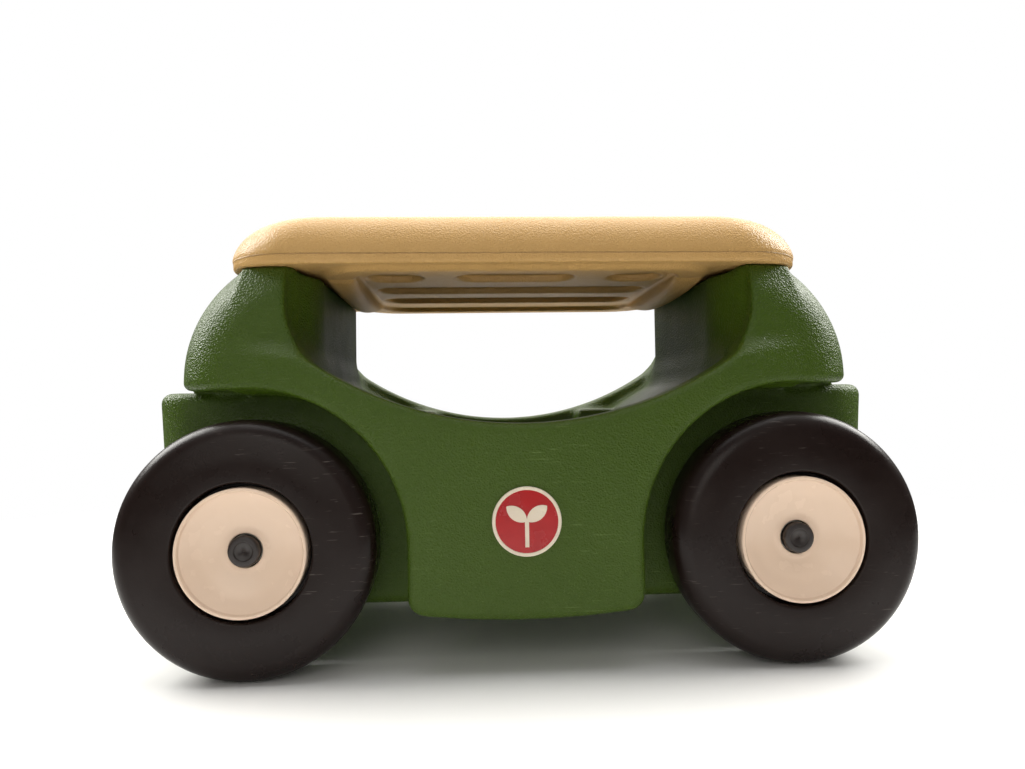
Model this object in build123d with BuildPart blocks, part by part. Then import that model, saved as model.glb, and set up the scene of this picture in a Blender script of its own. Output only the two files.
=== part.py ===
"""A low four-wheeled garden seat: a hollow moulded body with a tub, four wheels and a lift-off seat.

Millimetres. +X is forwards, +Y is the left side, +Z is up. The origin is on the ground under the
middle of the body.
"""
from build123d import *
import os

# ---- driving dimensions ------------------------------------------------------------------------
wheel_base = 418.0          # axle to axle
wheel_radius = 97.0
wheel_width = 49.0
wheel_track = 285.0         # wheel centre to wheel centre, across
wheel_shoulder = 15.0       # rounding from tread to face
wheel_wall = 3.5
wheel_hub_radius = 22.0     # the tube inside the wheel that holds the bushing
wheel_dish_radius = 51.0    # the hollow in the face that takes the hub disc
wheel_ledge = 5.0           # depth of the ledge that the hub disc's rim stands on
wheel_hub_depth = 14.5      # depth of the hub's front end below the face
vent_radius = 2.5           # blow hole through a hollow part's wall
vent_place = 66.0           # the wheel's vent is this far from its axis

disc_radius = 47.6
disc_lip = 2.1              # width of the raised lip round the hub disc
disc_proud = 1.6            # how far the lip stands out of the wheel's face
disc_lip_drop = 3.0         # from the lip's top down to the start of the dish
disc_thickness = 2.3
disc_hole_radius = 12.7
disc_collar = 2.6           # wall of the short collar round the hole

axle_radius = 6.0
axle_clearance = 0.15       # between the axle and the body's holes
running_clearance = 0.06    # between the axle and a bushing
bushing_radius = 10.0
bushing_flange_radius = 12.0
bushing_flange = 1.5
washer_radius = 15.0
washer_gap = 0.4            # end play of a wheel on its axle
nut_radius = 9.2
nut_thickness = 1.6
axle_tail = 3.5             # how far the axle passes its push nut
cap_radius = 11.7
cap_wall = 2.0
cap_roof = 2.5

body_wall = 3.2
panel_half = 163.0          # from the middle to a side panel's face
panel_bottom = 41.0
panel_corner = 12.0
arch_radius = 126.0         # wheel arch, round the wheel's axis
rim_low = 188.0             # lowest point of the side panels' top edge
rim_radius = 291.0
rim_end = 161.0             # where the rim's curve passes into the tower's wing
tower_top = 312.0
tower_inner = 182.0         # inner edge of a tower's side wings
tower_flat = 214.0          # outer end of a tower's flat top
tower_outer = 260.0         # outer end of a tower at its lower corner
tower_bulge = 10.0          # how far the tower's end is bowed out of a straight line
tower_corner = 15.0
tower_top_half = 144.0      # half width of a tower's top
tower_end_half = 154.0      # half width of a tower at its outer end
tower_end_round = 25.0
taper_start = 238.0         # height where the towers' sides start to lean in
pillar_inner = 162.0
pillar_half = 102.0
pillar_round = 9.0
pillar_top = 308.0
tub_half = 130.0            # half width of the tub between the wheel arches
tub_narrow = 100.0          # half width of its ends, beside the arches
tub_arch_wall = 12.0        # from the tub to a wheel arch
tub_end = 116.0
tub_floor = 76.0
tub_corner = 9.0
ledge_inner = 197.0         # height of the sloped ledge at the tub's edge
ledge_outer = 224.0         # height of the same ledge at the pillar's foot
chassis_half = 110.0
chassis_bottom = 43.0
bumper_apex = 313.0
bumper_corner = 286.0
bumper_top = 211.0
bumper_round = 14.0
bumper_taper = 3.0          # degrees, narrowing downwards
neck_half = 107.0           # the neck joins the chassis to the tower above it
neck_outer = 244.0
neck_bottom = 190.0
neck_top = 232.0

seat_wall = 3.2
seat_half_length = 233.0
seat_half_width = 150.5
seat_corner = 55.0
seat_top_half_length = 186.0
seat_top_half_width = 134.0
seat_top_corner = 40.0
seat_crown = 8.0            # rounding of the top's edge
seat_lip = 8.0              # height of the upright band round the seat
seat_under_inset = 9.0      # how far the underside draws in below the lip
seat_under_drop = 6.0
seat_height = 43.0          # from the underside's resting plane to the flat top
belly_gap = 2.0             # between the seat's belly and the pillars
belly_half_width = 140.0
belly_corner = 45.0
belly_drop = 4.0
recess_inset = 16.0
recess_depth = 4.0
rib_drop = 10.0             # the locating ribs hang this far below the belly
rib_width = 13.0
rib_half_length = 78.0
groove_width = 40.0
groove_depth = 2.0
groove_pitch = 70.0
groove_half = 126.0
groove_mid_half = 51.0      # the middle one of the three grooves in the first row
groove_gap = 30.0           # between those three grooves

badge_radius = 26.0
badge_height = 115.0
badge_field = 1.2           # thickness of the red disc
badge_rim_width = 2.6
badge_rim_height = 2.0
leaf_length = 19.0
leaf_width = 10.0
leaf_rise = 0.6             # how far the sprout stands off the red disc
stem_width = 3.0

# ---- places that follow ------------------------------------------------------------------------
axle_x = wheel_base / 2
axle_height = wheel_radius
wheel_face = wheel_track / 2 + wheel_width / 2       # distance of a wheel's outer face from the middle
wheel_back = wheel_face - wheel_width
hub_front = wheel_face - wheel_hub_depth - bushing_flange
disc_back = wheel_face - wheel_ledge
disc_top = wheel_face + disc_proud
nut_back = hub_front + bushing_flange + washer_gap
axle_end = nut_back + nut_thickness + axle_tail
arch_top = axle_height + arch_radius
arch_side = axle_x - arch_radius
rim_centre = rim_low + rim_radius
belly_half_length = pillar_inner - belly_gap
belly_bottom = tower_top - belly_drop

os.makedirs("parts", exist_ok=True)


def save(piece, name):
    piece.part.label = name
    export_step(piece.part, f"parts/{name}.step")


# ---- body --------------------------------------------------------------------------------------
def side_outline(inset):
    """The body seen from the side: centre panel, wheel arches, towers and the curved rim."""
    rim_end_height = rim_centre - (rim_radius**2 - rim_end**2) ** 0.5
    wing_bend = (tower_inner, (rim_end_height + tower_top) / 2 + panel_corner)
    with BuildSketch() as outline:
        with BuildLine():
            bottom = Line((0, panel_bottom), (arch_side, panel_bottom))
            riser = Line(bottom @ 1, (arch_side, axle_height))
            arch = RadiusArc(riser @ 1, (axle_x, arch_top), arch_radius)
            sill = Line(arch @ 1, (tower_outer, arch_top))
            end = SagittaArc(sill @ 1, (tower_flat, tower_top), -tower_bulge)
            top = Line(end @ 1, (tower_inner, tower_top))
            wing = Line(top @ 1, wing_bend)
            inner = TangentArc(wing @ 1, (rim_end, rim_end_height), tangent=(0, -1))
            RadiusArc(inner @ 1, (0, rim_low), rim_radius)
            Line((0, rim_low), (0, panel_bottom))
        make_face()
        fillet(outline.vertices().sort_by(Axis.Y)[0:2].sort_by(Axis.X)[-1], panel_corner)
        fillet(outline.vertices().sort_by(Axis.X)[-1], tower_corner)
        mirror(about=Plane.YZ)
        if inset:
            offset(amount=-inset, kind=Kind.INTERSECTION)
    return outline.sketch


def end_envelope(inset):
    """The body seen from the end: upright below, leaning in towards the towers' tops."""
    with BuildSketch() as outline:
        with BuildLine():
            Polyline(
                (0, 0), (panel_half, 0), (panel_half, taper_start),
                (tower_top_half, tower_top), (0, tower_top), (0, 0),
            )
        make_face()
        mirror(about=Plane.YZ)
        corners = outline.vertices().group_by(Axis.Y)[-1]
        fillet(corners.filter_by(lambda corner: abs(corner.X) > chassis_half), panel_corner)
        if inset:
            offset(amount=-inset, kind=Kind.INTERSECTION)
    return outline.sketch


def plan_envelope(inset):
    """The upper body seen from above: full width in the middle, narrower at the rounded ends."""
    with BuildSketch() as outline:
        with BuildLine():
            Polyline(
                (0, 0), (tower_outer, 0), (tower_outer, tower_end_half),
                (pillar_inner, panel_half), (0, panel_half), (0, 0),
            )
        make_face()
        fillet(outline.vertices().sort_by(Axis.X).group_by(Axis.X)[-1].sort_by(Axis.Y)[-1], tower_end_round)
        mirror(about=Plane.YZ)
        mirror(about=Plane.XZ)
        if inset:
            offset(amount=-inset, kind=Kind.INTERSECTION)
    return outline.sketch


def chassis_plan(inset):
    """The lower body seen from above, with its bowed bumpers."""
    with BuildSketch() as outline:
        with BuildLine():
            bow = ThreePointArc((bumper_corner, -chassis_half), (bumper_apex, 0), (bumper_corner, chassis_half))
            Polyline(bow @ 1, (0, chassis_half), (0, -chassis_half), bow @ 0)
        make_face()
        fillet(outline.vertices().group_by(Axis.X)[-1], bumper_round)
        mirror(about=Plane.YZ)
        if inset:
            offset(amount=-inset, kind=Kind.INTERSECTION)
    return outline.sketch


def gap_outline(inset):
    """The open space between the towers, seen from the side, down to the sloped ledges."""
    sky = 2 * tower_top
    with BuildSketch() as outline:
        with BuildLine():
            Polyline(
                (0, ledge_inner), (tub_end, ledge_inner), (pillar_inner, ledge_outer),
                (pillar_inner, sky), (0, sky), (0, ledge_inner),
            )
        make_face()
        mirror(about=Plane.YZ)
        if inset:
            offset(amount=inset, kind=Kind.INTERSECTION)
    return outline.sketch


def tub_plan(inset):
    """The tub seen from above: long between the arches, and wide where it clears them."""
    with BuildSketch() as outline:
        Rectangle(2 * tub_end, 2 * tub_narrow)
        Rectangle(2 * (arch_side - tub_arch_wall), 2 * tub_half)
        fillet(outline.vertices(), tub_corner)
        if inset:
            offset(amount=inset, kind=Kind.INTERSECTION)
    return outline.sketch


def body_form(inset):
    """The body's outside, or with an inset the hollow inside its wall."""
    with BuildPart() as form:
        with BuildSketch(Plane.XZ):
            add(side_outline(inset))
        extrude(amount=panel_half - inset, both=True)
        with BuildSketch(Plane.YZ):
            add(end_envelope(inset))
        extrude(amount=tower_outer, both=True, mode=Mode.INTERSECT)
        with BuildSketch(Plane.XY):
            add(plan_envelope(inset))
        extrude(amount=tower_top, mode=Mode.INTERSECT)
        with BuildSketch(Plane.XY.offset(bumper_top - inset)):
            add(chassis_plan(inset))
        extrude(amount=-(bumper_top - chassis_bottom - 2 * inset), taper=bumper_taper)
        with BuildSketch(Plane.XY.offset(neck_bottom)):
            for side in (1, -1):
                with Locations((side * (neck_outer + tub_end) / 2, 0)):
                    Rectangle(neck_outer - tub_end - 2 * inset, 2 * (neck_half - inset))
        extrude(amount=neck_top - neck_bottom - inset)
        with BuildSketch(Plane.XZ):
            add(gap_outline(inset))
        extrude(amount=tub_half + inset, both=True, mode=Mode.SUBTRACT)
        with BuildSketch(Plane.XY.offset(tub_floor - inset)):
            add(tub_plan(inset))
        extrude(amount=tower_top, mode=Mode.SUBTRACT)
        pillar_length = tower_flat - pillar_inner - 2 * inset
        with BuildSketch(Plane.XY.offset(ledge_inner)):
            for side in (1, -1):
                with Locations((side * (tower_flat + pillar_inner) / 2, 0)):
                    RectangleRounded(pillar_length, 2 * (pillar_half - inset), pillar_round)
        extrude(amount=pillar_top - inset - ledge_inner)
    return form.part


with BuildPart() as body_shell:
    add(body_form(0))
    add(body_form(body_wall), mode=Mode.SUBTRACT)
    with BuildSketch(Plane.XZ):
        with Locations((axle_x, axle_height), (-axle_x, axle_height)):
            Circle(axle_radius + axle_clearance)
    extrude(amount=panel_half, both=True, mode=Mode.SUBTRACT)
save(body_shell, "body_shell")


# ---- seat --------------------------------------------------------------------------------------
def seat_form(inset):
    """The seat's outside, or with an inset the hollow inside its wall."""
    band_bottom = tower_top + seat_under_drop
    with BuildPart() as form:
        with BuildSketch(Plane.XY.offset(band_bottom)):
            RectangleRounded(2 * (seat_half_length - inset), 2 * (seat_half_width - inset), seat_corner - inset)
        extrude(amount=seat_lip)
        with BuildSketch(Plane.XY.offset(band_bottom + seat_lip)):
            RectangleRounded(2 * (seat_half_length - inset), 2 * (seat_half_width - inset), seat_corner - inset)
        with BuildSketch(Plane.XY.offset(tower_top + seat_height - inset)):
            RectangleRounded(
                2 * (seat_top_half_length - inset), 2 * (seat_top_half_width - inset), seat_top_corner - inset
            )
        loft()
        with BuildSketch(Plane.XY.offset(band_bottom)):
            RectangleRounded(2 * (seat_half_length - inset), 2 * (seat_half_width - inset), seat_corner - inset)
        under = seat_under_inset + inset
        with BuildSketch(Plane.XY.offset(tower_top + inset)):
            RectangleRounded(2 * (seat_half_length - under), 2 * (seat_half_width - under), seat_corner - under)
        loft()
        with BuildSketch(Plane.XY.offset(belly_bottom + inset)):
            RectangleRounded(2 * (belly_half_length - inset), 2 * (belly_half_width - inset), belly_corner - inset)
        extrude(amount=belly_drop)
        with BuildSketch(Plane.XY.offset(belly_bottom - rib_drop + inset)):
            for side in (1, -1):
                with Locations((side * (belly_half_length - rib_width / 2), 0)):
                    Rectangle(rib_width - 2 * inset, 2 * (rib_half_length - inset))
        extrude(amount=rib_drop + belly_drop)
    return form.part


with BuildPart() as seat_lid:
    add(seat_form(0))
    crown = seat_lid.faces().sort_by(Axis.Z)[-1].edges()
    fillet(crown, seat_crown)
    add(seat_form(seat_wall + recess_depth / 2), mode=Mode.SUBTRACT)
    recess_plane = Plane.XY.offset(belly_bottom)
    recess_half_length = belly_half_length - rib_width - 2.0
    recess_half_width = belly_half_width - recess_inset
    with BuildSketch(recess_plane):
        RectangleRounded(2 * recess_half_length, 2 * recess_half_width, belly_corner - recess_inset)
    extrude(amount=recess_depth / 2, mode=Mode.SUBTRACT)
    side_length = groove_half - groove_mid_half - groove_gap
    with BuildSketch(recess_plane.offset(recess_depth / 2)):
        with Locations((0, 0), (0, groove_pitch)):
            SlotOverall(2 * groove_half, groove_width)
        with Locations((0, -groove_pitch)):
            SlotOverall(2 * groove_mid_half, groove_width)
        for side in (1, -1):
            with Locations((side * (groove_half - side_length / 2), -groove_pitch)):
                SlotOverall(side_length, groove_width)
    extrude(amount=groove_depth, mode=Mode.SUBTRACT)
    with BuildSketch(recess_plane):
        with Locations((0, groove_pitch / 2)):
            Circle(vent_radius)
    extrude(amount=3 * seat_wall, mode=Mode.SUBTRACT)
save(seat_lid, "seat_lid")


# ---- axles -------------------------------------------------------------------------------------
for name, x in (("axle_front", axle_x), ("axle_rear", -axle_x)):
    with BuildPart() as axle:
        with BuildSketch(Plane.XZ):
            with Locations((x, axle_height)):
                Circle(axle_radius)
        extrude(amount=axle_end, both=True)
        chamfer(axle.edges().filter_by(GeomType.CIRCLE), nut_thickness / 2)
    save(axle, name)


# ---- wheels and what holds them ----------------------------------------------------------------
# A wheel's pieces are turned about the axle. Their profiles are drawn with the radius across and
# the distance from the middle of the body up.
def turned(plane, outline, corners=()):
    """A solid of revolution from an outline of (radius, distance) points."""
    with BuildPart() as piece:
        with BuildSketch(plane) as profile:
            with BuildLine():
                Polyline(*outline, close=True)
            make_face()
            for radius, distance, rounding in corners:
                fillet(profile.vertices().sort_by_distance((radius, distance, 0))[0], rounding)
        revolve(axis=Axis(plane.origin, plane.y_dir))
    return piece


wheel_section = [
    (bushing_radius, wheel_back),
    (wheel_radius, wheel_back),
    (wheel_radius, wheel_face),
    (wheel_dish_radius, wheel_face),
    (wheel_dish_radius, disc_back),
    (disc_radius - disc_lip, disc_back),
    (wheel_hub_radius, hub_front),
    (bushing_flange_radius, hub_front),
    (bushing_flange_radius, hub_front - bushing_flange),
    (bushing_radius, hub_front - bushing_flange),
]
wheel_corners = [(wheel_radius, wheel_back, wheel_shoulder), (wheel_radius, wheel_face, wheel_shoulder)]
hollow_section = [
    (wheel_hub_radius - wheel_wall, wheel_back + wheel_wall),
    (wheel_radius - wheel_wall, wheel_back + wheel_wall),
    (wheel_radius - wheel_wall, wheel_face - wheel_wall),
    (wheel_dish_radius + wheel_wall, wheel_face - wheel_wall),
    (wheel_dish_radius + wheel_wall, disc_back - wheel_wall),
    (disc_radius - disc_lip, disc_back - wheel_wall),
    (wheel_hub_radius, hub_front - wheel_wall),
    (wheel_hub_radius - wheel_wall, hub_front - wheel_wall),
]
hollow_corners = [
    (wheel_radius - wheel_wall, wheel_back + wheel_wall, wheel_shoulder - wheel_wall),
    (wheel_radius - wheel_wall, wheel_face - wheel_wall, wheel_shoulder - wheel_wall),
]
dish_start = disc_top - disc_lip_drop
disc_inner = hub_front + disc_thickness + bushing_flange
disc_section = [
    (disc_radius, disc_back),
    (disc_radius, disc_top),
    (disc_radius - disc_lip, disc_top),
    (disc_radius - 2 * disc_lip, dish_start),
    (disc_hole_radius + 2 * disc_collar, disc_inner + disc_thickness),
    (disc_hole_radius, disc_inner),
    (disc_hole_radius, hub_front),
    (disc_hole_radius + disc_collar, hub_front),
    (disc_hole_radius + 2 * disc_collar, disc_inner),
    (disc_radius - 2 * disc_lip, dish_start - disc_thickness),
    (disc_radius - disc_lip, disc_back),
]
bushing_section = [
    (axle_radius + running_clearance, wheel_back),
    (bushing_radius, wheel_back),
    (bushing_radius, hub_front - bushing_flange),
    (bushing_flange_radius, hub_front - bushing_flange),
    (bushing_flange_radius, hub_front),
    (axle_radius + running_clearance, hub_front),
]
washer_section = [
    (axle_radius, chassis_half),
    (washer_radius, chassis_half),
    (washer_radius, wheel_back - washer_gap),
    (axle_radius, wheel_back - washer_gap),
]
nut_section = [
    (axle_radius, nut_back),
    (nut_radius, nut_back),
    (nut_radius, nut_back + nut_thickness),
    (axle_radius, nut_back + nut_thickness),
]
cap_top = axle_end + cap_roof
cap_section = [
    (0, axle_end),
    (nut_radius, axle_end),
    (nut_radius, nut_back),
    (cap_radius, nut_back),
    (cap_radius, cap_top),
    (0, cap_top),
]

corners = (
    ("front_left", axle_x, 1),
    ("front_right", axle_x, -1),
    ("rear_left", -axle_x, 1),
    ("rear_right", -axle_x, -1),
)
for place, x, side in corners:
    across = Plane(origin=(x, 0, axle_height), x_dir=(1, 0, 0), z_dir=(0, 0, side))

    wheel = turned(across, wheel_section, wheel_corners)
    hollow = turned(across, hollow_section, hollow_corners)
    with BuildPart() as wheel_shell:
        add(wheel.part)
        add(hollow.part, mode=Mode.SUBTRACT)
        with BuildSketch(Plane.XZ.offset(-side * (wheel_back + wheel_wall))):
            with Locations((x, axle_height + vent_place)):
                Circle(vent_radius)
        extrude(amount=1.5 * wheel_wall, both=True, mode=Mode.SUBTRACT)
    save(wheel_shell, f"wheel_{place}")

    save(turned(across, disc_section), f"hub_disc_{place}")
    save(turned(across, bushing_section), f"bushing_{place}")
    save(turned(across, washer_section), f"spacer_washer_{place}")
    save(turned(across, nut_section), f"push_nut_{place}")
    save(turned(across, cap_section, [(cap_radius, cap_top, cap_wall)]), f"axle_cap_{place}")


# ---- badge -------------------------------------------------------------------------------------
badge_plane = Plane(origin=(0, -panel_half, badge_height), x_dir=(1, 0, 0), z_dir=(0, -1, 0))

with BuildPart() as badge_plate:
    with BuildSketch(badge_plane):
        Circle(badge_radius - badge_rim_width)
    extrude(amount=badge_field)
save(badge_plate, "badge_plate")

with BuildPart() as badge_rim:
    with BuildSketch(badge_plane):
        Circle(badge_radius)
        Circle(badge_radius - badge_rim_width, mode=Mode.SUBTRACT)
    extrude(amount=badge_rim_height)
    fillet(badge_rim.faces().sort_by(Axis.Y)[0].edges(), badge_rim_width / 4)
save(badge_rim, "badge_rim")

with BuildPart() as badge_sprout:
    with BuildSketch(badge_plane.offset(badge_field)):
        with Locations((0, -leaf_length / 2)):
            Rectangle(stem_width, leaf_length)
        for side in (1, -1):
            with BuildLine():
                tip = (side * leaf_length * 0.8, leaf_length * 0.6)
                upper = SagittaArc((0, 0), tip, leaf_width / 2)
                SagittaArc(upper @ 0, tip, -leaf_width / 2)
            make_face()
    extrude(amount=leaf_rise)
save(badge_sprout, "badge_sprout")
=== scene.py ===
"""Looks of the rolling garden seat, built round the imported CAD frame. Metres, +X forwards, +Z up."""

import math

import bpy
import numpy as np
from mathutils import Matrix, Vector


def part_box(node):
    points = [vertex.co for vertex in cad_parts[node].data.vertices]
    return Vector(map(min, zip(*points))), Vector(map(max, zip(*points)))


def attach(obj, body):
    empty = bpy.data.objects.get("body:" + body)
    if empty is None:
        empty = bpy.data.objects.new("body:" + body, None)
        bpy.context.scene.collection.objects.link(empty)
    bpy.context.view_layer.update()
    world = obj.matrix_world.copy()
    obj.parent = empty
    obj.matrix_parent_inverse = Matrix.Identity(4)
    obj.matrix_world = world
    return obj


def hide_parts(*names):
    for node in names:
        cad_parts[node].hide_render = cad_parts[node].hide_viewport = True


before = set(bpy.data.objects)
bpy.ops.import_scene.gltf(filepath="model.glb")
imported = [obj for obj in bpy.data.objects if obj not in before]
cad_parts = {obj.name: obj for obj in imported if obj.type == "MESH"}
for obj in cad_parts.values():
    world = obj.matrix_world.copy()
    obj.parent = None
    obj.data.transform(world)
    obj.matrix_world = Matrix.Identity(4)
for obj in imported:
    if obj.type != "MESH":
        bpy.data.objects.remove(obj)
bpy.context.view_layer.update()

# ---- sizes -------------------------------------------------------------------------------------
# What the frame says.
body_low, body_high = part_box("body_shell")
seat_low, seat_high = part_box("seat_lid")
axle_low, axle_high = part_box("axle_front")
disc_low, disc_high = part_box("hub_disc_front_left")
cap_low, cap_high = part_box("axle_cap_front_left")
wheel_low, wheel_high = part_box("wheel_front_left")
AXLE_X = (axle_low.x + axle_high.x) / 2
AXLE_Z = (axle_low.z + axle_high.z) / 2
WHEEL_R = AXLE_Z
WHEEL_BACK, WHEEL_FACE = wheel_low.y, wheel_high.y
DISC_R = (disc_high.z - disc_low.z) / 2
DISC_BACK, DISC_TOP = disc_low.y, disc_high.y
CAP_R = (cap_high.x - cap_low.x) / 2
CAP_BACK, CAP_TOP = cap_low.y, cap_high.y
PANEL_HALF = body_high.y
BUMPER_APEX = body_high.x
TOWER_TOP = body_high.z
PANEL_BOTTOM = body_low.z
SEAT_HALF_LENGTH, SEAT_HALF_WIDTH, SEAT_TOP = seat_high.x, seat_high.y, seat_high.z

# The body's own form.
PANEL_CORNER = 0.012
PANEL_BOW = 0.006           # the panel's lower edge is this much lower in its middle
ARCH_R = 0.1195
ARCH_EDGE = 0.0065
FLARE_R = 0.1495            # middle of the step between the band round a wheel arch and the tower's side
FLARE_STEP = (0.010, -0.005)  # the step's hollow and crest, from its middle
FLARE_FADE = (0.150, 0.232)  # where the band sinks into the tower's side
RIM_LOW = 0.188
RIM_R = 0.291
RIM_END = 0.152             # the side panel's flat face ends here
RIM_EDGE = 0.0055
TOWER_INNER = 0.1815
WING_BEND = 0.024           # hollow curve between the rim and a tower's wing
WING_EDGE = 0.0028
WING_START = (RIM_LOW + 0.03, RIM_LOW + 0.07)  # heights over which the rim's edge sharpens to the wing's
TOWER_END_X, TOWER_END_Z, TOWER_END_R = 0.1623, 0.2283, 0.1040  # the drum that a tower's end is part of
TOWER_TOP_HALF = 0.1445
TOWER_FOOT_HALF = 0.1545
TOWER_END_ROUND = 0.042
PILLAR_INNER = 0.162
PILLAR_HALF = 0.104
PILLAR_FLARE = 0.030
PILLAR_TOP = 0.308
PILLAR_EDGE = 0.009
PILLAR_FOOT = 0.012
CHASSIS_HALF = 0.110
CHASSIS_BOTTOM = 0.043
BUMPER_CORNER = 0.286
BUMPER_TOP = 0.2155
BUMPER_EDGE = 0.009
BUMPER_TAPER = math.radians(3)
NECK_HALF = 0.107
NECK_OUTER = 0.260
NECK_TOP = 0.225
TUB_HALF = 0.130
TUB_NARROW = 0.100
TUB_ARCH_WALL = 0.012
TUB_END = 0.116
TUB_FLOOR = 0.076
LEDGE_INNER, LEDGE_OUTER = 0.197, 0.224
LEDGE_SLOPE = math.radians(30)

# The seat's own form.
SEAT_CORNER = 0.055
SEAT_END_BEVEL = 0.045
SEAT_SIDE_BEVEL = 0.034
SEAT_TOP_CORNER = 0.040
SEAT_BULGE = 1.7
SEAT_EDGE = 0.003
SEAT_TOP_SLOPE = 1.4        # evens out the distance field where the rounded top lies nearly flat
PARTING_HEIGHT = TOWER_TOP + 0.0072
PARTING_STEP = 0.0006       # the upper half of the mould stands this far out of the lower one
BELLY_HALF_LENGTH = 0.160
BELLY_HALF_WIDTH = 0.140
BELLY_CORNER = 0.045
BELLY_BOTTOM = TOWER_TOP - 0.004
RIB_WIDTH = 0.026
RIB_HALF_LENGTH = 0.096
RECESS_INSET = 0.016
RECESS_DEPTH = 0.005
RECESS_EDGE = 0.0022
GROOVE_WIDTH = 0.040
GROOVE_DEPTH = 0.006
GROOVE_PITCH = 0.070
GROOVE_HALF = 0.128
GROOVE_MID_HALF = 0.051
GROOVE_GAP = 0.030

BODY_STEP = 0.0031          # spacing of the grid that the body's surface is drawn from
SEAT_STEP = 0.0024
TURNS = 160                 # segments round a turned piece


# ---- surfaces from distance fields ---------------------------------------------------------------
# A shape is a function of x, y, z that is negative inside it, roughly the distance to its surface.
def both(a, b, edge):
    """Where a and b overlap, with the edge between them rounded."""
    return np.minimum(-edge, np.maximum(a, b)) + np.hypot(np.maximum(a + edge, 0), np.maximum(b + edge, 0))


def either(a, b, edge):
    """a and b joined, with the corner between them filled to a round."""
    return np.maximum(edge, np.minimum(a, b)) - np.hypot(np.maximum(edge - a, 0), np.maximum(edge - b, 0))


def without(a, b, edge):
    """a with b cut out of it."""
    return both(a, -b, edge)


def rounded_box(x, y, half_length, half_width, corner):
    """A rectangle with round corners, in plan."""
    across, along = np.abs(y) - half_width + corner, np.abs(x) - half_length + corner
    outside = np.hypot(np.maximum(along, 0), np.maximum(across, 0))
    return outside + np.minimum(np.maximum(along, across), 0) - corner


def ramp(value, start, end):
    """0 before start, 1 after end and smooth between."""
    t = np.clip((value - start) / (end - start), 0, 1)
    return t * t * (3 - 2 * t)


def surface(shape, low, high, step):
    """Vertices and four-sided faces of a shape's surface in a box, one vertex to each cell it crosses."""
    axes = [np.arange(a - 2 * step, b + 3 * step, step) for a, b in zip(low, high)]
    value = shape(*np.meshgrid(*axes, indexing="ij"))
    solid = value < 0
    counts = [n - 1 for n in value.shape]
    ends = [(i, j, k) for i in (0, 1) for j in (0, 1) for k in (0, 1)]

    def corner(array, end):
        return array[tuple(slice(e, e + n) for e, n in zip(end, counts))]

    filled = sum(corner(solid, end).astype(np.int8) for end in ends)
    cells = np.argwhere((filled > 0) & (filled < 8))
    number = np.full(counts, -1)
    number[tuple(cells.T)] = np.arange(len(cells))

    at_end = {end: value[tuple((cells + end).T)] for end in ends}
    total, crossings = np.zeros((len(cells), 3)), np.zeros((len(cells), 1))
    for start in ends:
        for axis in range(3):
            if start[axis]:
                continue
            stop = tuple(1 if n == axis else start[n] for n in range(3))
            a, b = at_end[start], at_end[stop]
            crossed = (a < 0) != (b < 0)
            share = np.where(crossed, a / np.where(crossed, a - b, 1), 0)
            point = np.tile(np.array(start, float), (len(cells), 1))
            point[:, axis] = share
            total += point * crossed[:, None]
            crossings += crossed[:, None]
    origin = np.array([axis[0] for axis in axes])
    points = origin + (cells + total / crossings) * step

    faces = []
    for axis in range(3):
        side, up = (axis + 1) % 3, (axis + 2) % 3
        inner = [slice(1, -1)] * 3
        inner[axis] = slice(0, -1)
        outer = list(inner)
        outer[axis] = slice(1, None)
        a, b = solid[tuple(inner)], solid[tuple(outer)]
        edges = np.argwhere(a != b)
        outwards = a[tuple(edges.T)]
        ring = []
        for move_side, move_up in ((0, 0), (1, 0), (1, 1), (0, 1)):
            cell = edges.copy()
            cell[:, side] += move_side
            cell[:, up] += move_up
            ring.append(number[tuple(cell.T)])
        quads = np.stack(ring, axis=1)
        quads[~outwards] = quads[~outwards][:, ::-1]
        faces.append(quads)
    return settle(shape, points, step), np.concatenate(faces)


def settle(shape, points, step, rounds=4):
    """Moves points on to the shape's surface."""
    reach = step / 8
    for _ in range(rounds):
        slope = np.empty_like(points)
        for axis in range(3):
            ahead, behind = points.copy(), points.copy()
            ahead[:, axis] += reach
            behind[:, axis] -= reach
            slope[:, axis] = (shape(*ahead.T) - shape(*behind.T)) / (2 * reach)
        steepness = np.maximum((slope**2).sum(1), 0.05)
        move = -shape(*points.T)[:, None] * slope / steepness[:, None]
        points = points + np.clip(move, -step / 2, step / 2)
    return points


# ---- pieces --------------------------------------------------------------------------------------
def add_mesh(name, points, faces, smooth=True):
    mesh = bpy.data.meshes.new(name)
    mesh.from_pydata(np.asarray(points).tolist(), [], np.asarray(faces).tolist())
    mesh.validate()
    mesh.update()
    if smooth:
        mesh.shade_smooth()
    piece = bpy.data.objects.new(name, mesh)
    bpy.context.scene.collection.objects.link(piece)
    return piece


def place(piece, body, slot, material, *nodes):
    """Rides a finished piece on a CAD body in place of CAD nodes."""
    piece.data.materials.clear()
    piece.data.materials.append(material)
    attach(piece, body)
    if nodes:
        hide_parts(*nodes)


def side_form(x, z):
    """The body seen from the side, without its ends: panel, arches, rim and wings."""
    rim = RIM_R - np.hypot(x, z - RIM_LOW - RIM_R)
    upper = either(rim, TOWER_INNER - x, WING_BEND)
    before, above = AXLE_X - x, z - AXLE_Z
    past_arch = np.hypot(np.maximum(before, 0), np.maximum(above, 0))
    arch = past_arch + np.minimum(np.maximum(before, above), 0) - ARCH_R
    lower_edge = PANEL_BOTTOM + PANEL_BOW * (x / (AXLE_X - ARCH_R)) ** 2
    foot = both(-arch, lower_edge - z, PANEL_CORNER)
    return upper, foot


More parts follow.
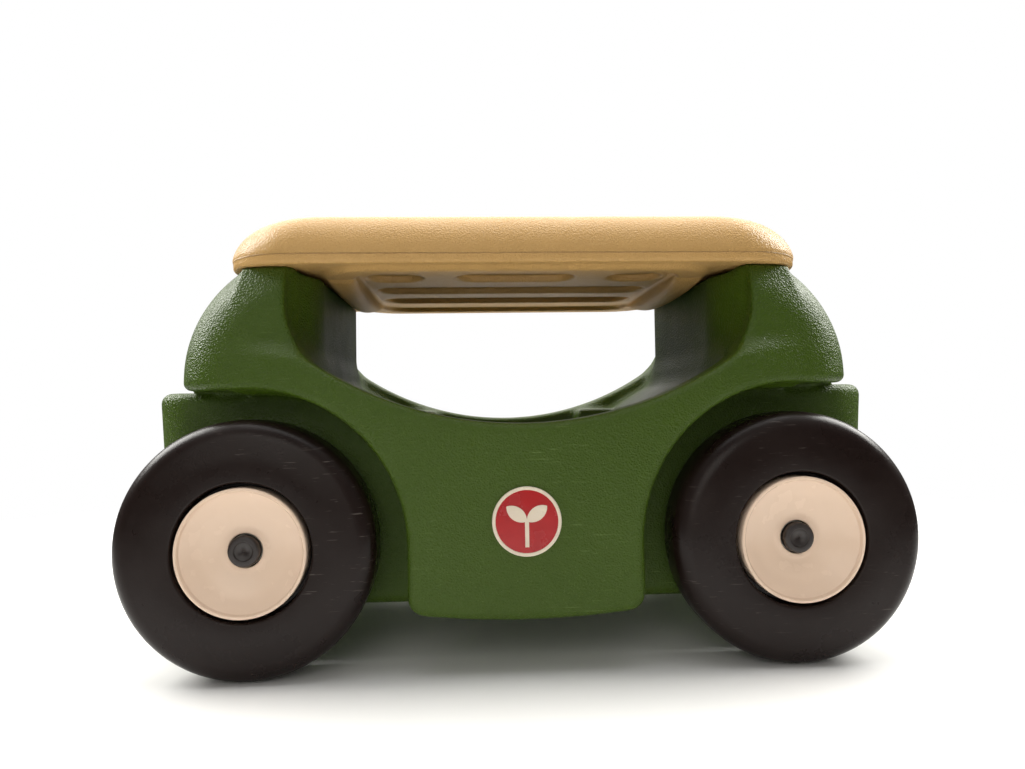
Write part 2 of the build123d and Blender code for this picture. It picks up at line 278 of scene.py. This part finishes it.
def body_shape(x, y, z):
    """The whole moulded body, the same on both sides of both middle planes."""
    x, y = np.abs(x), np.abs(y)
    upper, foot = side_form(x, z)
    arch_top = AXLE_Z + ARCH_R
    lean = (TOWER_FOOT_HALF - TOWER_TOP_HALF) / (TOWER_TOP - arch_top)
    tower_half = TOWER_FOOT_HALF - np.maximum(z - arch_top, 0) * lean
    reach = np.hypot(x - AXLE_X, z - AXLE_Z) - FLARE_R
    in_band = ramp(reach, *FLARE_STEP)
    in_panel = ramp(x, RIM_END + FLARE_STEP[0], RIM_END)
    share = np.maximum(in_band, in_panel) * (1 - ramp(x, *FLARE_FADE))
    half = tower_half + (PANEL_HALF - tower_half) * share

    end = np.maximum(x - TOWER_END_X, 0)
    end = np.hypot(end, np.maximum(z - TOWER_END_Z, 0)) - TOWER_END_R
    skin = both(end, y - half, TOWER_END_ROUND)
    skin = both(skin, foot, ARCH_EDGE)
    wing = ramp(z, *WING_START)
    skin = both(skin, upper, RIM_EDGE + (WING_EDGE - RIM_EDGE) * wing)

    drop = BUMPER_TOP - z
    sagitta = BUMPER_APEX - BUMPER_CORNER
    bow_r = (CHASSIS_HALF**2 + sagitta**2) / (2 * sagitta)
    bow = np.hypot(x - BUMPER_APEX + bow_r, y) - bow_r + drop * math.tan(BUMPER_TAPER)
    plan = both(bow, y - CHASSIS_HALF, 2 * BUMPER_EDGE)
    block = both(both(plan, -drop, BUMPER_EDGE), CHASSIS_BOTTOM - z, BUMPER_EDGE)
    neck = both(both(x - NECK_OUTER, y - NECK_HALF, 2 * BUMPER_EDGE), z - NECK_TOP, BUMPER_EDGE)
    neck = np.maximum(neck, BUMPER_TOP - 2 * BUMPER_EDGE - z)
    whole = either(either(skin, block, RIM_EDGE / 2), neck, WING_EDGE)

    rise = np.clip((x - TUB_END) / (PILLAR_INNER - TUB_END), 0, 1)
    ledge = LEDGE_INNER + (LEDGE_OUTER - LEDGE_INNER) * rise
    above_ledge = (ledge - z) * math.cos(LEDGE_SLOPE)
    gap = both(both(x - PILLAR_INNER, y - TUB_HALF, PILLAR_EDGE), above_ledge, PILLAR_EDGE)
    long_tub = both(x - TUB_END, y - TUB_NARROW, PILLAR_EDGE)
    wide_tub = both(x - (AXLE_X - ARCH_R - TUB_ARCH_WALL), y - TUB_HALF, PILLAR_EDGE)
    tub = both(np.minimum(long_tub, wide_tub), TUB_FLOOR - z, PANEL_CORNER)
    whole = without(without(whole, gap, RIM_EDGE), tub, RIM_EDGE)

    across, along = PILLAR_FLARE, TOWER_INNER - PILLAR_INNER
    slant = ((y - PILLAR_HALF) * along - (x - PILLAR_INNER) * across) / math.hypot(across, along)
    pillar = both(both(PILLAR_INNER - x, slant, PILLAR_EDGE), y - PILLAR_HALF - PILLAR_FLARE, PILLAR_EDGE)
    inside = np.maximum(x - TOWER_END_X - TOWER_END_R / 2, arch_top - z)
    whole = either(whole, np.maximum(np.maximum(pillar, z - PILLAR_TOP), inside), PILLAR_FOOT)
    return np.maximum(whole, z - TOWER_TOP)


def seat_shape(x, y, z):
    """The slab seat: rounded above, with a belly, recess, grooves and locating rolls below."""
    share = np.clip((z - PARTING_HEIGHT) / (SEAT_TOP - PARTING_HEIGHT), 0, 1)
    drawn_in = 1 - np.sqrt(np.maximum(1 - share**SEAT_BULGE, 0))
    under = PARTING_STEP * ramp(z, PARTING_HEIGHT + PARTING_STEP / 2, PARTING_HEIGHT - PARTING_STEP / 2)
    half_length = SEAT_HALF_LENGTH - SEAT_END_BEVEL * drawn_in - under
    half_width = SEAT_HALF_WIDTH - SEAT_SIDE_BEVEL * drawn_in - under
    corner = SEAT_CORNER - (SEAT_CORNER - SEAT_TOP_CORNER) * drawn_in
    outline = rounded_box(x, y, half_length, half_width, corner)
    slope = 1 + SEAT_TOP_SLOPE * share**4
    slab = both(both(outline / slope, z - SEAT_TOP, SEAT_EDGE), TOWER_TOP - z, SEAT_EDGE)

    above = z - TOWER_TOP - 2 * RECESS_DEPTH
    sides = rounded_box(x, y, BELLY_HALF_LENGTH, BELLY_HALF_WIDTH, BELLY_CORNER)
    belly = both(sides, BELLY_BOTTOM - z, RECESS_DEPTH)
    rib_middle = BELLY_HALF_LENGTH - RIB_WIDTH / 2
    crown = np.clip(1 - (y / RIB_HALF_LENGTH) ** 2, 0, 1)
    sag = (BELLY_BOTTOM - seat_low.z) * np.sqrt(crown)
    across = np.clip(1 - ((np.abs(x) - rib_middle) / (RIB_WIDTH / 2)) ** 2, 0, 1)
    roll = both(sides, BELLY_BOTTOM - sag * np.sqrt(across) - z, RECESS_DEPTH)
    whole = either(slab, np.maximum(np.minimum(belly, roll), above), RECESS_DEPTH)

    recess_length = BELLY_HALF_LENGTH - RIB_WIDTH
    recess = rounded_box(x, y, recess_length, BELLY_HALF_WIDTH - RECESS_INSET, BELLY_CORNER - RECESS_INSET)
    whole = without(whole, both(recess, z - BELLY_BOTTOM - RECESS_DEPTH, RECESS_EDGE), RECESS_EDGE)
    end = GROOVE_WIDTH / 2
    side_half = (GROOVE_HALF - GROOVE_MID_HALF - GROOVE_GAP) / 2
    grooves = np.minimum(
        rounded_box(x, y, GROOVE_HALF, end, end),
        rounded_box(x, y - GROOVE_PITCH, GROOVE_HALF, end, end),
    )
    grooves = np.minimum(grooves, rounded_box(x, y + GROOVE_PITCH, GROOVE_MID_HALF, end, end))
    outer = np.abs(x) - GROOVE_HALF + side_half
    grooves = np.minimum(grooves, rounded_box(outer, y + GROOVE_PITCH, side_half, end, end))
    cut = both(grooves, z - BELLY_BOTTOM - RECESS_DEPTH - GROOVE_DEPTH, RECESS_EDGE)
    return without(whole, cut, RECESS_EDGE)


def rounded_path(corners, steps=6):
    """A closed path through (radius, distance, rounding) corners, each turned by an arc."""
    points = []
    for n, (radius, distance, rounding) in enumerate(corners):
        here = Vector((radius, distance))
        before = Vector(corners[n - 1][:2]) - here
        after = Vector(corners[(n + 1) % len(corners)][:2]) - here
        if rounding <= 0:
            points.append(here)
            continue
        half = before.angle(after) / 2
        cut = rounding / math.tan(half)
        start, stop = here + before.normalized() * cut, here + after.normalized() * cut
        inwards = (before.normalized() + after.normalized()).normalized()
        centre = here + inwards * (rounding / math.sin(half))
        a, b = start - centre, stop - centre
        turn = math.atan2(a.x * b.y - a.y * b.x, a.dot(b))
        for step in range(steps + 1):
            angle = turn * step / steps
            cosine, sine = math.cos(angle), math.sin(angle)
            points.append(centre + Vector((a.x * cosine - a.y * sine, a.x * sine + a.y * cosine)))
    return points


def turned(name, corners, x, side, steps=6):
    """A solid turned about an axle, from (radius, distance from the body's middle, rounding) corners."""
    path = rounded_path(corners, steps)
    count = len(path)
    points, faces = [], []
    for turn in range(TURNS):
        angle = 2 * math.pi * turn / TURNS
        for radius, distance in path:
            across, up = radius * math.cos(angle), radius * math.sin(angle)
            points.append((x + across, side * distance, AXLE_Z + up))
    for turn in range(TURNS):
        here, following = turn * count, (turn + 1) % TURNS * count
        for n in range(count):
            m = (n + 1) % count
            ring = [here + n, here + m, following + m, following + n]
            faces.append(ring if side > 0 else ring[::-1])
    return add_mesh(name, points, faces)


# ---- materials -----------------------------------------------------------------------------------
class Look:
    """A material's node tree, with short calls for the nodes that these plastics use."""

    def __init__(self, name, colour, roughness, **sockets):
        self.material = bpy.data.materials.new(name)
        self.material.use_nodes = True
        self.nodes = self.material.node_tree.nodes
        self.links = self.material.node_tree.links
        self.shader = self.nodes["Principled BSDF"]
        self.shader.inputs["Base Color"].default_value = (*colour, 1)
        self.shader.inputs["Roughness"].default_value = roughness
        for socket, value in sockets.items():
            self.shader.inputs[socket.replace("_", " ")].default_value = value
        self.where = self.nodes.new("ShaderNodeTexCoord").outputs["Object"]
        self.normal = None

    def stretched(self, scale):
        node = self.nodes.new("ShaderNodeMapping")
        node.inputs["Scale"].default_value = scale
        self.links.new(self.where, node.inputs["Vector"])
        return node.outputs["Vector"]

    def noise(self, scale, detail=3.0, rough=0.5, where=None):
        node = self.nodes.new("ShaderNodeTexNoise")
        node.inputs["Scale"].default_value = scale
        node.inputs["Detail"].default_value = detail
        node.inputs["Roughness"].default_value = rough
        self.links.new(where or self.where, node.inputs["Vector"])
        return node.outputs["Fac"]

    def cells(self, scale):
        node = self.nodes.new("ShaderNodeTexVoronoi")
        node.feature = "SMOOTH_F1"
        node.inputs["Scale"].default_value = scale
        self.links.new(self.where, node.inputs["Vector"])
        return node.outputs["Distance"]

    def axis(self, name):
        node = self.nodes.new("ShaderNodeSeparateXYZ")
        self.links.new(self.where, node.inputs["Vector"])
        return node.outputs[name]

    def maths(self, operation, a, b=0.0):
        node = self.nodes.new("ShaderNodeMath")
        node.operation = operation
        for socket, value in zip(node.inputs, (a, b)):
            if isinstance(value, (int, float)):
                socket.default_value = value
            else:
                self.links.new(value, socket)
        return node.outputs["Value"]

    def between(self, value, low, high, out_low=0.0, out_high=1.0):
        """value mapped from low..high to out_low..out_high, and held there."""
        node = self.nodes.new("ShaderNodeMapRange")
        self.links.new(value, node.inputs["Value"])
        for socket, number in zip(list(node.inputs)[1:5], (low, high, out_low, out_high)):
            socket.default_value = number
        return node.outputs["Result"]

    def tint(self, share, colour):
        """Mixes colour into the base colour by share, over what is there already."""
        node = self.nodes.new("ShaderNodeMix")
        node.data_type = "RGBA"
        base = self.shader.inputs["Base Color"]
        if base.is_linked:
            self.links.new(base.links[0].from_socket, node.inputs[6])
        else:
            node.inputs[6].default_value = base.default_value
        node.inputs[7].default_value = (*colour, 1)
        self.links.new(share, node.inputs[0])
        self.links.new(node.outputs[2], base)

    def rough(self, value):
        self.links.new(value, self.shader.inputs["Roughness"])

    def bump(self, height, distance, strength=1.0):
        node = self.nodes.new("ShaderNodeBump")
        node.inputs["Strength"].default_value = strength
        node.inputs["Distance"].default_value = distance
        self.links.new(height, node.inputs["Height"])
        if self.normal:
            self.links.new(self.normal, node.inputs["Normal"])
        self.normal = node.outputs["Normal"]
        self.links.new(self.normal, self.shader.inputs["Normal"])


def scratches(look, stretch, low, high):
    """Fine straight scuffs: stretched noise, kept only where a slow noise is high."""
    lines = look.noise(1.0, 2.0, 0.6, look.stretched(stretch))
    patch = look.between(look.noise(9.0, 2.0), 0.52, 0.66)
    return look.maths("MULTIPLY", look.between(lines, low, high), patch)


def moulded(name, colour, pale, dark, roughness, grain):
    """Rotationally moulded plastic: fine stipple that glints, mottled colour and light scuffs."""
    look = Look(name, colour, roughness, Specular_IOR_Level=0.26)
    mottle = look.noise(14.0, 4.0, 0.6)
    look.tint(look.between(mottle, 0.35, 0.75, 0.0, 0.30), dark)
    pits = look.cells(760.0)
    specks = look.noise(900.0, 2.0, 0.5)
    look.tint(look.between(specks, 0.60, 0.72, 0.0, 0.14), pale)
    scuff = scratches(look, (30.0, 260.0, 900.0), 0.66, 0.74)
    look.tint(look.maths("MULTIPLY", scuff, 0.5), pale)
    look.rough(look.between(mottle, 0.3, 0.7, roughness - 0.05, roughness + 0.07))
    look.bump(look.noise(26.0, 2.0, 0.4), 0.0012, 0.35)
    look.bump(pits, grain, 0.8)
    return look


def body_look():
    base, pale, dark = (0.046, 0.084, 0.0045), (0.22, 0.31, 0.10), (0.036, 0.068, 0.003)
    green = moulded("green_plastic", base, pale, dark, 0.38, 0.00090)
    return green.material


def seat_look():
    base, pale, dark = (0.59, 0.355, 0.128), (0.86, 0.66, 0.38), (0.50, 0.285, 0.090)
    tan = moulded("tan_plastic", base, pale, dark, 0.38, 0.00060)
    height = tan.axis("Z")
    line = tan.maths("ABSOLUTE", tan.maths("SUBTRACT", height, PARTING_HEIGHT))
    seam = tan.between(line, 0.0002, 0.0007, 1.0, 0.0)
    tan.tint(tan.maths("MULTIPLY", seam, 0.5), (0.36, 0.20, 0.08))
    tan.bump(seam, 0.0006, 0.9)
    return tan.material


def wheel_look():
    look = Look("black_plastic", (0.0115, 0.0062, 0.0052), 0.28, Specular_IOR_Level=0.20)
    cloud = look.noise(18.0, 5.0, 0.62)
    look.tint(look.between(cloud, 0.45, 0.75, 0.0, 0.45), (0.020, 0.013, 0.011))
    scuff = scratches(look, (60.0, 60.0, 700.0), 0.64, 0.74)
    look.tint(look.maths("MULTIPLY", scuff, 0.35), (0.22, 0.19, 0.17))
    look.rough(look.between(cloud, 0.3, 0.7, 0.22, 0.38))
    look.bump(look.noise(40.0, 3.0, 0.5), 0.0010, 0.25)
    look.bump(look.noise(700.0, 2.0), 0.00015, 0.5)
    return look.material


def disc_look():
    look = Look("cream_plastic", (0.80, 0.61, 0.47), 0.20, Specular_IOR_Level=0.36)
    cloud = look.noise(12.0, 3.0, 0.5)
    look.tint(look.between(cloud, 0.35, 0.8, 0.0, 0.30), (0.74, 0.54, 0.40))
    look.rough(look.between(look.noise(60.0, 3.0), 0.3, 0.7, 0.16, 0.30))
    look.bump(look.noise(45.0, 2.0), 0.0006, 0.15)
    return look.material


def plain_look(name, colour, roughness, shade, metallic=0.0):
    """A small part's plastic or steel, with a little cloudiness and grain."""
    look = Look(name, colour, roughness, Metallic=metallic)
    cloud = look.noise(60.0, 4.0, 0.6)
    look.tint(look.between(cloud, 0.4, 0.75, 0.0, 0.5), shade)
    look.rough(look.between(cloud, 0.3, 0.7, roughness - 0.06, roughness + 0.1))
    look.bump(look.noise(500.0, 2.0), 0.00012, 0.4)
    return look.material


# ---- building ------------------------------------------------------------------------------------
green, tan, black, cream = body_look(), seat_look(), wheel_look(), disc_look()
cap_black = plain_look("cap_plastic", (0.016, 0.011, 0.010), 0.34, (0.03, 0.022, 0.02))
bush_white = plain_look("bushing_plastic", (0.52, 0.52, 0.48), 0.45, (0.40, 0.39, 0.35))
washer_black = plain_look("washer_plastic", (0.03, 0.03, 0.03), 0.5, (0.05, 0.05, 0.05))
steel = plain_look("rod_steel", (0.52, 0.52, 0.53), 0.34, (0.34, 0.32, 0.30), 1.0)
red = plain_look("badge_red", (0.42, 0.012, 0.014), 0.22, (0.32, 0.006, 0.010))
badge_cream = plain_look("badge_cream", (0.78, 0.68, 0.55), 0.28, (0.66, 0.55, 0.42))

body_piece = add_mesh("body", *surface(body_shape, body_low, body_high, BODY_STEP))
place(body_piece, "chassis", "body_plastic", green, "body_shell")
seat_piece = add_mesh("seat", *surface(seat_shape, seat_low, seat_high, SEAT_STEP))
place(seat_piece, "seat", "seat_plastic", tan, "seat_lid")

WHEEL_WIDTH = WHEEL_FACE - WHEEL_BACK
DISH_R = DISC_R + 0.0034
HUB_R = 0.0135
BORE_R = 0.010
DISC_LIP = 0.0021
DISC_HOLE = 0.0127
DISC_SKIN = 0.0023
DISC_MIDDLE = DISC_TOP - 0.0137
WHEEL_CORNERS = [
    (BORE_R, WHEEL_BACK, 0),
    (0.030, WHEEL_BACK, 0.002),
    (0.034, WHEEL_BACK + 0.004, 0.003),
    (0.072, WHEEL_BACK + 0.004, 0.004),
    (0.078, WHEEL_BACK, 0.004),
    (WHEEL_R - 0.0005, WHEEL_BACK + 0.0005, 0.013),
    (WHEEL_R, WHEEL_FACE - WHEEL_WIDTH / 2, 0.20),
    (WHEEL_R - 0.0008, WHEEL_FACE - 0.0022, 0.0145),
    (DISH_R + 0.014, WHEEL_FACE, 0.10),
    (DISH_R, WHEEL_FACE - 0.0008, 0.0020),
    (DISH_R, DISC_BACK - 0.002, 0.001),
    (DISC_R - DISC_LIP, DISC_BACK - 0.002, 0.002),
    (0.022, DISC_MIDDLE - 0.006, 0.004),
    (HUB_R, CAP_BACK - 0.002, 0.001),
    (BORE_R, CAP_BACK - 0.002, 0),
]
DISC_CORNERS = [
    (DISC_R, DISC_BACK, 0.0004),
    (DISC_R, DISC_TOP, 0.0009),
    (DISC_R - DISC_LIP, DISC_TOP, 0.0009),
    (DISC_R - DISC_LIP - 0.0012, DISC_TOP - 0.0026, 0.0012),
    (0.0330, DISC_TOP - 0.0092, 0.030),
    (0.0180, DISC_MIDDLE, 0.012),
    (DISC_HOLE, DISC_MIDDLE, 0.0008),
    (DISC_HOLE, DISC_MIDDLE - 0.006, 0.0004),
    (DISC_HOLE + DISC_SKIN, DISC_MIDDLE - 0.006, 0.0004),
    (DISC_HOLE + DISC_SKIN, DISC_MIDDLE - DISC_SKIN, 0.0006),
    (0.0330, DISC_TOP - 0.0092 - DISC_SKIN, 0.020),
    (DISC_R - DISC_LIP - 0.0012, DISC_BACK, 0.0008),
]
CAP_CORNERS = [
    (0.0004, CAP_BACK, 0),
    (CAP_R, CAP_BACK, 0.0004),
    (CAP_R, CAP_TOP, 0.0022),
    (CAP_R * 0.62, CAP_TOP, 0.0006),
    (CAP_R * 0.56, CAP_TOP - 0.0009, 0.0006),
    (0.0004, CAP_TOP - 0.0009, 0),
]
for end, x in (("front", AXLE_X), ("rear", -AXLE_X)):
    for hand, side in (("left", 1), ("right", -1)):
        corner = f"{end}_{hand}"
        roller = f"roller_{corner}"
        wheel_piece = turned(f"tyre_{corner}", WHEEL_CORNERS, x, side, 10)
        place(wheel_piece, roller, "wheel_plastic", black, f"wheel_{corner}")
        disc_piece = turned(f"dish_{corner}", DISC_CORNERS, x, side)
        place(disc_piece, roller, "disc_plastic", cream, f"hub_disc_{corner}")
        cap_piece = turned(f"cap_{corner}", CAP_CORNERS, x, side)
        place(cap_piece, "chassis", "cap_plastic", cap_black, f"axle_cap_{corner}")

for node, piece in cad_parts.items():
    for start, material in (
        ("axle_front", steel), ("axle_rear", steel), ("push_nut", steel), ("bushing", bush_white),
        ("spacer_washer", washer_black), ("badge_plate", red), ("badge_rim", badge_cream),
        ("badge_sprout", badge_cream),
    ):
        if node.startswith(start):
            piece.data.materials.clear()
            piece.data.materials.append(material)

# ---- stage, light and camera ---------------------------------------------------------------------
FLOOR_REACH = 3.0
FLOOR_FADE = (0.45, 1.2)                      # distances over which the floor fades out
ROOM_LOW, ROOM_HIGH, ROOM_BACK = 0.04, 0.45, 0.3  # strength below, above, and added behind
SEAT_MIDDLE = (0, 0, 0.25)
HIGH_LAMP = (1.5, 0.35, 1.3)                  # one at each end, for the glare on the towers


def stage_floor():
    """A pale floor that fades out, so that it meets the white room with no line."""
    reach = FLOOR_REACH
    corners = [(-reach, -reach, 0), (reach, -reach, 0), (reach, reach, 0), (-reach, reach, 0)]
    floor = add_mesh("floor", corners, [(0, 1, 2, 3)])
    look = Look("floor_paper", (0.88, 0.88, 0.87), 0.7, Specular_IOR_Level=0.1)
    distance = look.nodes.new("ShaderNodeVectorMath")
    distance.operation = "LENGTH"
    look.links.new(look.where, distance.inputs[0])
    fade = look.between(distance.outputs["Value"], *FLOOR_FADE)
    mix, clear = look.nodes.new("ShaderNodeMixShader"), look.nodes.new("ShaderNodeBsdfTransparent")
    look.links.new(fade, mix.inputs[0])
    look.links.new(look.shader.outputs[0], mix.inputs[1])
    look.links.new(clear.outputs[0], mix.inputs[2])
    look.links.new(mix.outputs[0], look.nodes["Material Output"].inputs["Surface"])
    floor.data.materials.append(look.material)


def lamp(name, place_at, towards, size, power, colour=(1, 1, 1)):
    light = bpy.data.lights.new(name, "AREA")
    light.size = size
    light.energy = power
    light.color = colour
    holder = bpy.data.objects.new(name, light)
    holder.location = place_at
    holder.rotation_euler = (Vector(towards) - Vector(place_at)).to_track_quat("-Z", "Y").to_euler()
    bpy.context.scene.collection.objects.link(holder)


def add_world():
    """A white room to look at, that lights the object dimly from the front and more from behind."""
    world = bpy.data.worlds.new("room")
    world.use_nodes = True
    nodes, links = world.node_tree.nodes, world.node_tree.links
    seen, room = nodes["Background"], nodes.new("ShaderNodeBackground")
    seen.inputs["Color"].default_value = (1, 1, 1, 1)
    direction = nodes.new("ShaderNodeSeparateXYZ")
    links.new(nodes.new("ShaderNodeTexCoord").outputs["Generated"], direction.inputs["Vector"])
    shares = []
    for axis, low, high, at_low, at_high in (
        ("Z", -0.1, 0.9, ROOM_LOW, ROOM_HIGH),
        ("Y", 0.25, 0.85, 0.0, ROOM_BACK),
        ("Z", 0.02, 0.20, 0.0, 1.0),
    ):
        share = nodes.new("ShaderNodeMapRange")
        links.new(direction.outputs[axis], share.inputs["Value"])
        for socket, number in zip(list(share.inputs)[1:5], (low, high, at_low, at_high)):
            socket.default_value = number
        shares.append(share.outputs["Result"])
    strength = nodes.new("ShaderNodeMath")
    strength.operation = "MULTIPLY_ADD"
    for socket, share in zip(strength.inputs, (shares[1], shares[2], shares[0])):
        links.new(share, socket)
    links.new(strength.outputs["Value"], room.inputs["Strength"])
    room.inputs["Color"].default_value = (1.0, 0.98, 0.95, 1)
    mix, ray = nodes.new("ShaderNodeMixShader"), nodes.new("ShaderNodeLightPath")
    links.new(ray.outputs["Is Camera Ray"], mix.inputs[0])
    links.new(room.outputs[0], mix.inputs[1])
    links.new(seen.outputs[0], mix.inputs[2])
    links.new(mix.outputs[0], nodes["World Output"].inputs["Surface"])
    bpy.context.scene.world = world


stage_floor()
add_world()
lamp("top_back", (0.0, 0.75, 1.5), SEAT_MIDDLE, 2.0, 30, (1.0, 0.97, 0.93))
lamp("top", (0.0, 0.0, 2.0), (0, 0, 0.2), 1.6, 14)
for name, side in (("high_right", 1), ("high_left", -1)):
    high_x, high_y, high_z = HIGH_LAMP
    lamp(name, (side * high_x, high_y, high_z), (side * 0.2, 0, 0.25), 1.1, 40, (1.0, 0.99, 0.95))
lamp("front_fill", (-0.5, -2.2, 0.9), (0, 0, 0.2), 1.4, 10, (1.0, 0.97, 0.90))

CAMERA_PLACE = (-0.0405, -0.7356, 0.2006)
CAMERA_YAW, CAMERA_PITCH, CAMERA_ROLL = -0.0547, 0.0290, -0.0153    # radians
CAMERA_LENS, CAMERA_SENSOR = 26.89, 36.0                            # millimetres


def add_camera():
    level_right = Vector((math.cos(CAMERA_YAW), math.sin(CAMERA_YAW), 0))
    level_ahead = Vector((-math.sin(CAMERA_YAW), math.cos(CAMERA_YAW), 0))
    up = Vector((0, 0, 1))
    ahead = level_ahead * math.cos(CAMERA_PITCH) + up * math.sin(CAMERA_PITCH)
    over = up * math.cos(CAMERA_PITCH) - level_ahead * math.sin(CAMERA_PITCH)
    right = level_right * math.cos(CAMERA_ROLL) + over * math.sin(CAMERA_ROLL)
    top = over * math.cos(CAMERA_ROLL) - level_right * math.sin(CAMERA_ROLL)
    camera = bpy.data.cameras.new("camera")
    camera.lens = CAMERA_LENS
    camera.sensor_width = CAMERA_SENSOR
    camera.clip_start = 0.01
    holder = bpy.data.objects.new("camera", camera)
    turn = Matrix((right, top, -ahead)).transposed().to_4x4()
    holder.matrix_world = Matrix.Translation(CAMERA_PLACE) @ turn
    bpy.context.scene.collection.objects.link(holder)
    bpy.context.scene.camera = holder


add_camera()
bpy.context.scene.view_settings.view_transform = "Standard"
